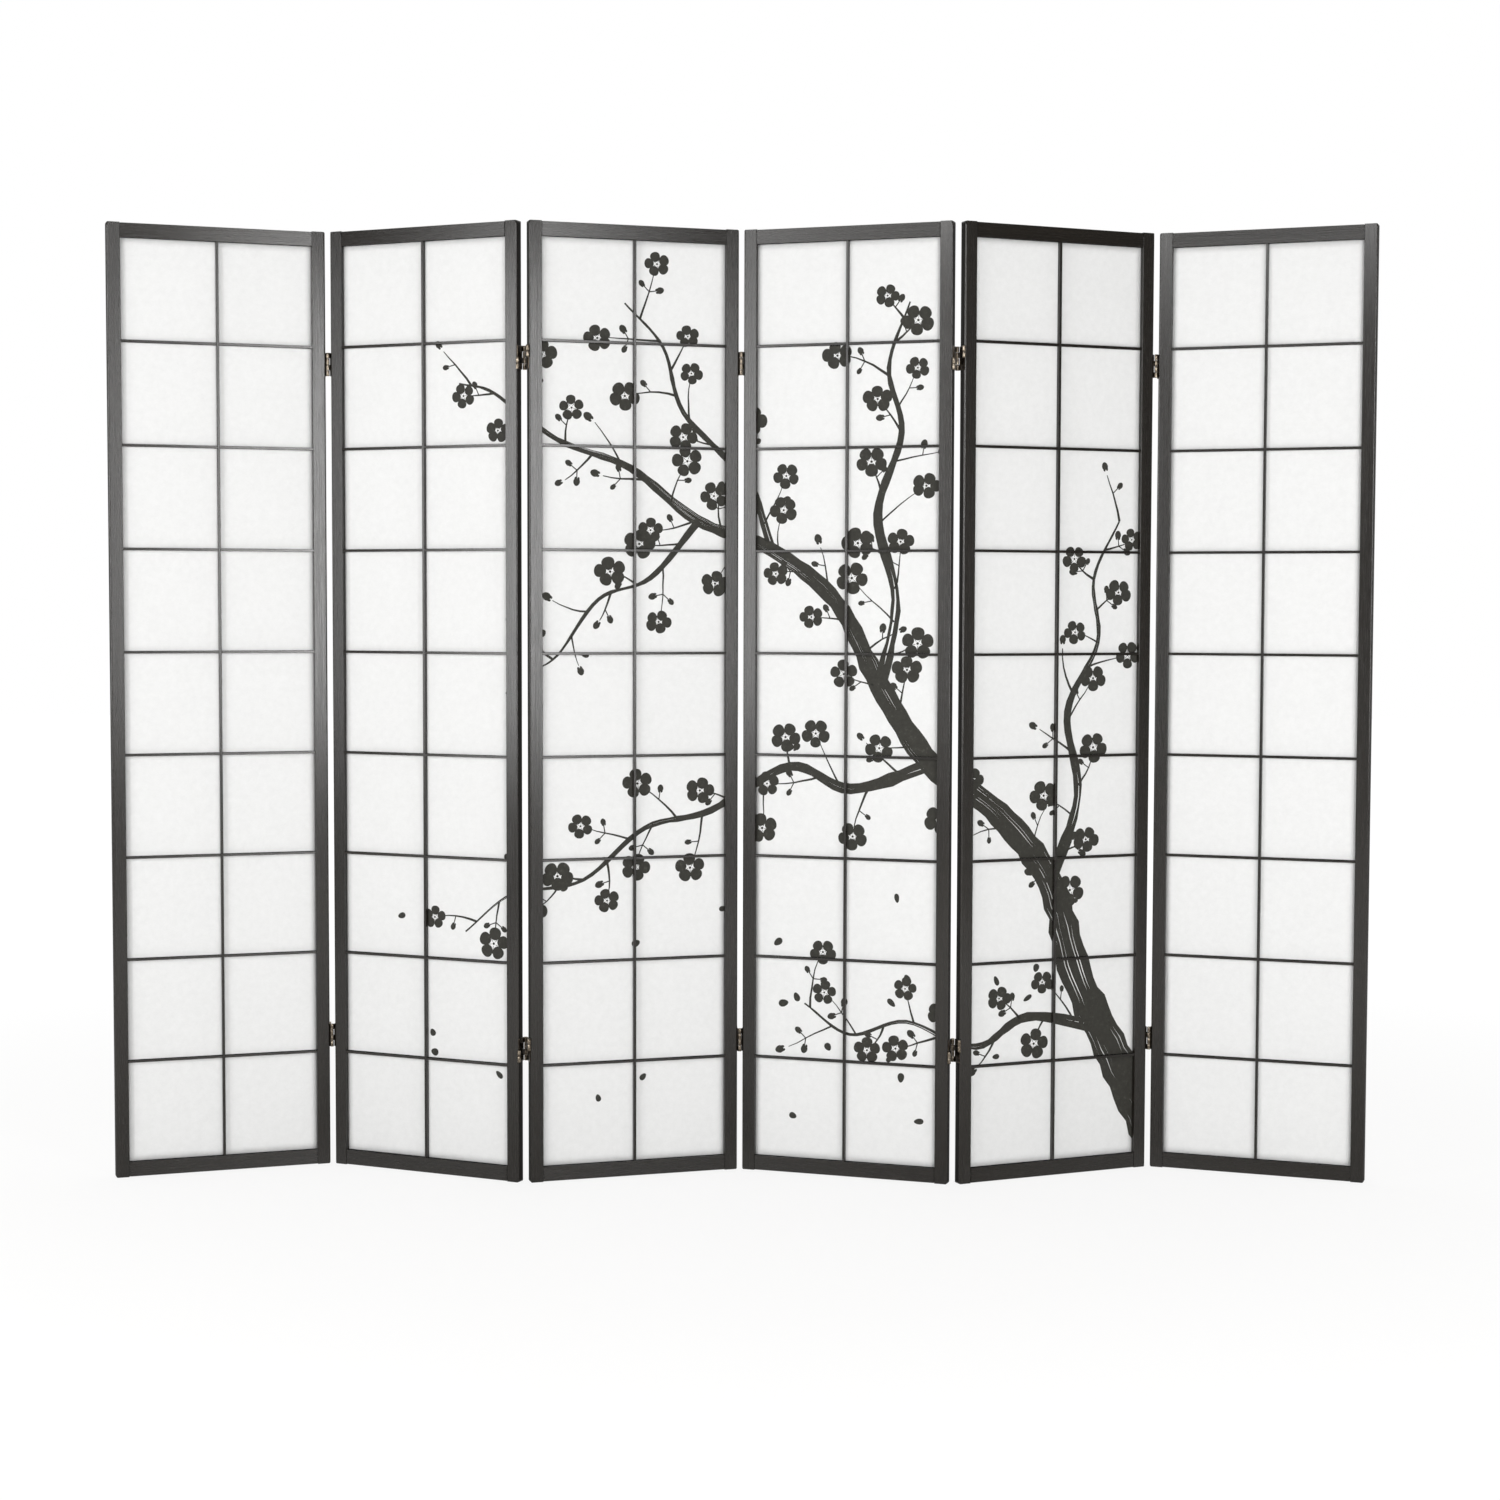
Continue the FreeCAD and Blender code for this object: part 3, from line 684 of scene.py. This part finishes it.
# Blossoms and buds, in shares of their radius or size
PETALS, PETAL_REACH, PETAL_SIZE = 5, 0.62, (0.72, 0.8)
PETAL_BREADTH, PETAL_POINT, PETAL_SIDES = 1.02, -0.16, 26
EYE_SIZE, EYE_SIDES = 0.16, 12
STAMEN_ROOT, STAMEN_REACH, STAMEN_BREADTH = 0.14, (0.5, 0.62), 0.03
ANTHER_SIZE, ANTHER_SIDES = 0.09, 10
BUD_LENGTH, BUD_POINT, BUD_SIDES = 1.15, 0.15, 20
SEPAL_LEAN, SEPAL_BACK, SEPAL_ASIDE = 0.5, 0.55, 0.5
SEPAL_LENGTH, SEPAL_BREADTH, SEPAL_POINT, SEPAL_SIDES = 0.5, 0.3, 0.3, 12

# Fallen petals: how many, where, and their range of sizes
FALLEN_PETALS, FALLEN_ACROSS, FALLEN_UP = 26, (0.55, 1.9), (0.07, 0.55)
FALLEN_LENGTH, FALLEN_BREADTH, FALLEN_POINT, FALLEN_SIDES = (0.014, 0.02), (0.009, 0.014), 0.2, 18


def along(points, steps):
    """A smooth line through the points, with steps places between each two."""
    places = []
    padded = [2 * points[0] - points[1], *points, 2 * points[-1] - points[-2]]
    for a, b, c, d in zip(padded, padded[1:], padded[2:], padded[3:]):
        for step in range(steps):
            t = step / steps
            places.append(0.5 * (2 * b + (c - a) * t + (2 * a - 5 * b + 4 * c - d) * t ** 2
                                 + (3 * b - a - 3 * c + d) * t ** 3))
    return [*places, points[-1]]


def with_neighbours(places):
    """Each place with the one before it and the one after it, or itself at an end."""
    return zip(places, [places[0], *places], [*places[1:], places[-1]])


def heading_way(angle):
    return Vector((math.cos(angle), math.sin(angle)))


def lay_ink(bm, shape):
    """Adds a flat shape, at one of many heights by turns, so that two rarely share a surface."""
    lift = INK_THICKNESS + INK_LAYER * next(INK_LAYERS)
    bmesh.ops.translate(shape, vec=(0, 0, lift), verts=shape.verts)
    add_separate(bm, shape)


def stroke(bm, places):
    """A flat stroke through (across, up, breadth) places."""
    line, ends = bmesh.new(), None
    for place, before, after in with_neighbours(places):
        way = (after - before).to_2d().normalized()
        side = Vector((-way.y, way.x)) * place.z / 2
        middle = place.to_2d()
        spots = [(*(middle + side), 0), (*(middle - side), 0)]
        if ends is None:
            verts = [line.verts.new(spot) for spot in spots]
            ends = line.edges.new(verts)
            continue
        ends = only(BMEdge, bmesh.ops.extrude_edge_only(line, edges=[ends])["geom"])[0]
        start = verts[0].co.to_2d()
        verts = sorted(ends.verts, key=lambda vert: (vert.co.to_2d() - start).length)
        for vert, spot in zip(verts, spots):
            vert.co = spot
    lay_ink(bm, line)


def dry_stroke(bm, places):
    """A broad limb drawn with a dry brush: strokes side by side that part here and there."""
    hairs = max(1, round(max(place.z for place in places) / HAIR_BREADTH))
    for hair in range(hairs):
        off = (hair + 0.5) / hairs - 0.5
        drawn, run = [], 0.0
        for place, before, after in with_neighbours(places):
            way = (after - before).to_2d()
            run += (place - before).to_2d().length
            side = Vector((-way.y, way.x)).normalized() * place.z * off
            spot = Vector((run * WANDER_ALONG, hair * WANDER_HAIR, places[0].x * WANDER_LIMB))
            breadth = place.z / hairs * (HAIR_OVERLAP + min(0.0, HAIR_THINNING * noise.noise(spot)))
            drawn.append(Vector((place.x + side.x, place.y + side.y, breadth)))
        stroke(bm, drawn)


def disc(bm, centre, length, breadth, turn, pointed, sides):
    """A flat oval, narrower towards its far end by pointed, or broader where that is below zero."""
    oval = bmesh.new()
    bmesh.ops.create_circle(oval, cap_ends=True, segments=sides, radius=1)
    for vert in oval.verts:
        vert.co.y *= 1 - pointed * vert.co.x
    bmesh.ops.scale(oval, vec=(length / 2, breadth / 2, 1), verts=oval.verts)
    bmesh.ops.rotate(oval, matrix=Matrix.Rotation(turn, 3, "Z"), verts=oval.verts)
    bmesh.ops.translate(oval, vec=(centre.x, centre.y, 0), verts=oval.verts)
    lay_ink(bm, oval)


def dot(bm, centre, size, sides):
    disc(bm, centre, size, size, 0, 0.0, sides)


def blossom(bm, draw, centre, radius, turn, squeeze):
    """Five round petals, open in the middle, with stamens there."""
    for petal in range(PETALS):
        way = heading_way(turn + petal * math.tau / PETALS)
        middle = way * radius * PETAL_REACH
        size = radius * draw.uniform(*PETAL_SIZE)
        place = centre + Vector((middle.x, middle.y * squeeze))
        angle = math.atan2(way.y * squeeze, way.x)
        disc(bm, place, size, size * PETAL_BREADTH, angle, PETAL_POINT, PETAL_SIDES)
    dot(bm, centre, radius * EYE_SIZE, EYE_SIDES)
    for stamen in range(PETALS):
        way = heading_way(turn + (stamen + 0.5) * math.tau / PETALS)
        way.y *= squeeze
        tip = centre + way * radius * draw.uniform(*STAMEN_REACH)
        root = centre + way * radius * STAMEN_ROOT
        stroke(bm, [Vector((*spot, radius * STAMEN_BREADTH)) for spot in (root, tip)])
        dot(bm, tip, radius * ANTHER_SIZE, ANTHER_SIDES)


def bud(bm, centre, size, turn):
    """A round bud on two sepals."""
    disc(bm, centre, size * BUD_LENGTH, size, turn, BUD_POINT, BUD_SIDES)
    way = heading_way(turn)
    for lean in (-SEPAL_LEAN, SEPAL_LEAN):
        aside = Vector((-way.y, way.x)) * size * lean * SEPAL_ASIDE
        disc(bm, centre - way * size * SEPAL_BACK + aside, size * SEPAL_LENGTH, size * SEPAL_BREADTH,
             turn + lean, SEPAL_POINT, SEPAL_SIDES)


def twig(bm, draw, root, turn, length, breadth):
    """A thin side shoot that bends, with a blossom or bud at its end and buds beside it."""
    bend = draw.uniform(*TWIG_BEND)
    places, spot, heading = [], root, turn
    for step in range(TWIG_STEPS):
        places.append(Vector((spot.x, spot.y, breadth * (1 - TWIG_TAPER * step))))
        heading += bend / TWIG_STEPS + draw.uniform(*TWIG_WOBBLE)
        spot = spot + heading_way(heading) * length / TWIG_STEPS
    stroke(bm, places)
    if draw.random() < BLOSSOM_CHANCE:
        radius, angle = draw.uniform(*BLOSSOM_RADIUS), draw.uniform(*ANY_TURN)
        blossom(bm, draw, spot, radius, angle, draw.uniform(*BLOSSOM_SQUEEZE))
    else:
        bud(bm, spot, draw.uniform(*END_BUD), heading)
    for side in (-1, 1):
        if draw.random() < SIDE_BUD_CHANCE:
            beside = places[SIDE_BUD_STEP].to_2d()
            tip = beside + heading_way(heading + side * STALK_LEAN) * STALK_LENGTH
            stroke(bm, [Vector((*beside, STALK_ROOT)), Vector((*tip, STALK_TIP))])
            bud(bm, tip, draw.uniform(*SIDE_BUD), heading + side)


def branch_picture():
    """The whole picture, flat, before it is cut to the panels."""
    draw = random.Random(PICTURE_SEED)
    bm = bmesh.new()
    for limb in LIMBS:
        places = along([Vector(bend) / MILLIMETRES for bend in limb], LIMB_STEPS)
        for place in places:
            place.z *= draw.uniform(*LIMB_UNEVEN)
        dry_stroke(bm, places)
        side, since = 1, 0.0
        for before, place in zip(places, places[1:]):
            since += (place - before).to_2d().length
            if since < TWIG_GAP or place.z > TRUNK_BREADTH:
                continue
            since, side = 0.0, -side
            way = (place - before).to_2d()
            turn = math.atan2(way.y, way.x) + side * draw.uniform(*TWIG_LEAN)
            length, breadth = draw.uniform(*TWIG_LENGTH), draw.uniform(*TWIG_BREADTH)
            twig(bm, draw, place.to_2d(), turn, length, breadth)
    for _ in range(FALLEN_PETALS):
        fall = Vector((draw.uniform(*FALLEN_ACROSS), draw.uniform(*FALLEN_UP)))
        length, breadth = draw.uniform(*FALLEN_LENGTH), draw.uniform(*FALLEN_BREADTH)
        disc(bm, fall, length, breadth, draw.uniform(*ANY_TURN), FALLEN_POINT, FALLEN_SIDES)
    return bm


def ink_on_panel(picture, number):
    """The part of the picture on one panel's paper, in the panel's own frame."""
    bm = picture.copy()
    bmesh.ops.translate(bm, vec=(-PANEL_STEP * (number - 1), 0, 0), verts=bm.verts)
    margin = RABBET / 2
    cut(bm, (STILE_WIDTH - margin, 0, 0), (-1, 0, 0), drop=True)
    cut(bm, (PANEL_WIDTH - STILE_WIDTH + margin, 0, 0), (1, 0, 0), drop=True)
    cut(bm, (0, BOTTOM_LEDGE - margin, 0), (0, -1, 0), drop=True)
    cut(bm, (0, TOP_LEDGE + margin, 0), (0, 1, 0), drop=True)
    geom = bmesh.ops.extrude_face_region(bm, geom=bm.faces[:], use_keep_orig=True)["geom"]
    bmesh.ops.scale(bm, vec=(1, 1, 0), verts=only(BMVert, geom))
    bmesh.ops.rotate(bm, matrix=Matrix.Rotation(math.pi / 2, 3, "X"), verts=bm.verts)
    bmesh.ops.translate(bm, vec=(0, PAPER_FRONT, 0), verts=bm.verts)
    return bm


# Every panel's pieces

def build_panel(number, picture):
    """Every piece of one panel, with its hinge leaves and links.

    The links stand above the hinge's middle on odd panels and below it on even ones.
    """
    def add(bm, name, finishes, slot, node=None, **laid):
        nodes = [f"panel_{number}_{node}"] if node else []
        finished(bm, f"{name}_{number}", number, finishes, slot, nodes, **laid)

    bottom = (RAIL_OFF_FLOOR, BOTTOM_LEDGE, True)
    top = (TOP_LEDGE, PANEL_HEIGHT - HORN_HEIGHT, False)
    add(shaped(left_stile), "left_stile", STILE_FINISH, "frame", "left_stile", grain="z")
    add(shaped(right_stile), "right_stile", STILE_FINISH, "frame", "right_stile", grain="z")
    add(shaped(rail, *bottom), "bottom_rail", (LEVEL_WOOD,), "frame", "bottom_rail", grain="x")
    add(shaped(rail, *top), "top_rail", (LEVEL_WOOD,), "frame", "top_rail", grain="x")
    add(shaped(vertical_bar), "vertical_bar", (UPRIGHT_WOOD,), "lattice", "vertical_bar", grain="z")
    add(shaped(cross_bars), "cross_bars", (LEVEL_WOOD,), "lattice", "cross_bars", grain="x")
    add(shaped(paper_sheet), "paper", (PAPER,), "paper", "paper")
    link_foot = KNUCKLE_GAP / 2 if number % 2 else -KNUCKLE_GAP / 2 - KNUCKLE_HEIGHT
    sides = [("right", None)] * (number < PANELS) + [("left", HALF_TURN)] * (number > 1)
    for side, matrix in sides:
        add(shaped(leaves), f"{side}_leaves", HINGE_FINISH, "hinges", "hinge_leaves", matrix=matrix)
        add(shaped(links, link_foot), f"{side}_links", HINGE_FINISH, "hinges", "hinge_links",
            matrix=matrix)
        add(shaped(screws), f"{side}_screws", (SHEET_BRONZE_PAINTED_SHADE,), "hinges", matrix=matrix)
    if number in INK_PANELS:
        add(ink_on_panel(picture, number), "ink", (INK,), "paper")


picture = branch_picture()
for number in range(1, PANELS + 1):
    build_panel(number, picture)
picture.free()


# Floor, light and camera

# The floor, and how white the camera sees it from near the screen to far from it
FLOOR_REACH, FLOOR_DROP = 20, 0.0002
FLOOR_TONE = (0.715, 0.705, 0.69, 1)
FADE_FROM, FADE_TO = 1.0, 4.0
WHITE_NEAR, WHITE_FAR, FLOOR_WHITE = 0.80, 1.0, 1.05

# The room's light behind the screen and before it, and what mirrors show of it before the screen
ROOM_BEHIND, ROOM_BEFORE, ROOM_MIRRORED_BEFORE = 1.0, 0.08, 0.12

# Half the width of the change from before to behind: metres on the floor, and in the room a part of
# the ray's direction
BLEND = 0.2

# Lamps: name, place, point aimed at, width, height, watts, and whether mirrors show them
LAMPS = (
    ("softbox_right", (1.82, -4.05, 1.42), (0, 0, 1.25), 0.95, 1.70, 72, True),
    ("softbox_left", (-2.84, -3.0, 1.40), (0, 0, 1.25), 0.64, 1.58, 47, True),
    ("softbox_far_left", (-3.45, -2.5, 1.40), (0, 0, 1.25), 0.55, 1.65, 29, True),
    ("softbox_above", (-1.0, -3.3, 2.45), (0, 0, 0.9), 2.80, 0.45, 26, True),
    ("fill_front", (-0.2, -4.9, 0.34), (0, 0, 0.2), 1.60, 0.65, 50, False),
    ("fill_right", (2.5, -2.5, 0.30), (0.5, 0, 0.1), 0.80, 0.50, 22, False),
)

# The camera's place, its turn to the left, tip down and roll in degrees, and its focal length in pixels
CAMERA_PLACE = (0.05173, -4.97350, 1.08467)
CAMERA_HEADING, CAMERA_PITCH, CAMERA_ROLL = 0.3844, 3.1993, -0.146
FOCAL_PIXELS, IMAGE_SIZE, SENSOR_WIDTH = 2640.69, 1500, 36


def pale_floor():
    """A wide pale floor that reads as white to the camera and keeps a soft shadow."""
    bm = bmesh.new()
    bmesh.ops.create_grid(bm, x_segments=1, y_segments=1, size=FLOOR_REACH)
    mesh = bpy.data.meshes.new("floor")
    bm.to_mesh(mesh)
    bm.free()
    mesh.transform(Matrix.Translation((0, 0, -FLOOR_DROP)))
    shader = Shader("pale_floor")
    shader.surface_sockets(Base_Color=FLOOR_TONE, Roughness=0.9, Specular_IOR_Level=0.1)
    place = shader.place()
    far = shader.node("VectorMath", {"operation": "LENGTH"}, Vector=place).outputs["Value"]
    fade = shader.map_range(far, FADE_FROM, FADE_TO, WHITE_NEAR, WHITE_FAR)
    behind = shader.map_range(shader.node("SeparateXYZ", Vector=place).outputs["Y"], -BLEND, BLEND)
    shown = shader.maths("MULTIPLY", shader.rays_shown_white(behind), fade)
    shader.mix_in(shader.node("Emission", Strength=FLOOR_WHITE).outputs["Emission"], shown)
    mesh.materials.append(shader.material)
    floor = bpy.data.objects.new("floor", mesh)
    bpy.context.scene.collection.objects.link(floor)


def white_room():
    """A world that the camera sees white. As a light, and in mirrors, it is dim before the screen."""
    world = bpy.data.worlds.new("white_room")
    world.use_nodes = True
    tree = NodeTree(world.node_tree)
    way = tree.node("TexCoord").outputs["Generated"]
    depth = tree.node("SeparateXYZ", Vector=way).outputs["Y"]
    mirrored = tree.map_range(depth, -BLEND, BLEND, ROOM_MIRRORED_BEFORE, 1.0)
    light = tree.map_range(depth, -BLEND, BLEND, ROOM_BEFORE, ROOM_BEHIND)
    background = tree.nodes["Background"]
    tree.put(background, "Color", (1, 1, 1, 1))
    tree.put(background, "Strength", tree.maths("MAXIMUM", tree.rays_shown_white(mirrored), light))
    bpy.context.scene.world = world


def softbox(name, place, target, width, height, watts, mirrored):
    """An area lamp that the camera doesn't see."""
    lamp = bpy.data.lights.new(name, "AREA")
    lamp.shape = "RECTANGLE"
    lamp.size, lamp.size_y = width, height
    lamp.energy = watts
    box = bpy.data.objects.new(name, lamp)
    box.location = place
    box.rotation_euler = (Vector(target) - Vector(place)).to_track_quat("-Z", "Y").to_euler()
    box.visible_camera = False
    box.visible_glossy = mirrored
    bpy.context.scene.collection.objects.link(box)


def camera():
    """The camera, at the photo's viewpoint."""
    heading, pitch, roll = map(math.radians, (CAMERA_HEADING, CAMERA_PITCH, CAMERA_ROLL))
    forward = Vector((-math.sin(heading) * math.cos(pitch), math.cos(heading) * math.cos(pitch),
                      -math.sin(pitch)))
    right = Vector((math.cos(heading), math.sin(heading), 0))
    up = right.cross(forward)
    across = math.cos(roll) * right - math.sin(roll) * up
    upward = math.sin(roll) * right + math.cos(roll) * up
    lens = bpy.data.cameras.new("camera")
    lens.sensor_width = SENSOR_WIDTH
    lens.lens = FOCAL_PIXELS / IMAGE_SIZE * SENSOR_WIDTH
    eye = bpy.data.objects.new("camera", lens)
    turned = Matrix((across, upward, -forward)).transposed().to_4x4()
    eye.matrix_world = Matrix.Translation(CAMERA_PLACE) @ turned
    bpy.context.scene.collection.objects.link(eye)
    bpy.context.scene.camera = eye


pale_floor()
white_room()
for lamp in LAMPS:
    softbox(*lamp)
camera()
bpy.context.scene.view_settings.view_transform = "Standard"
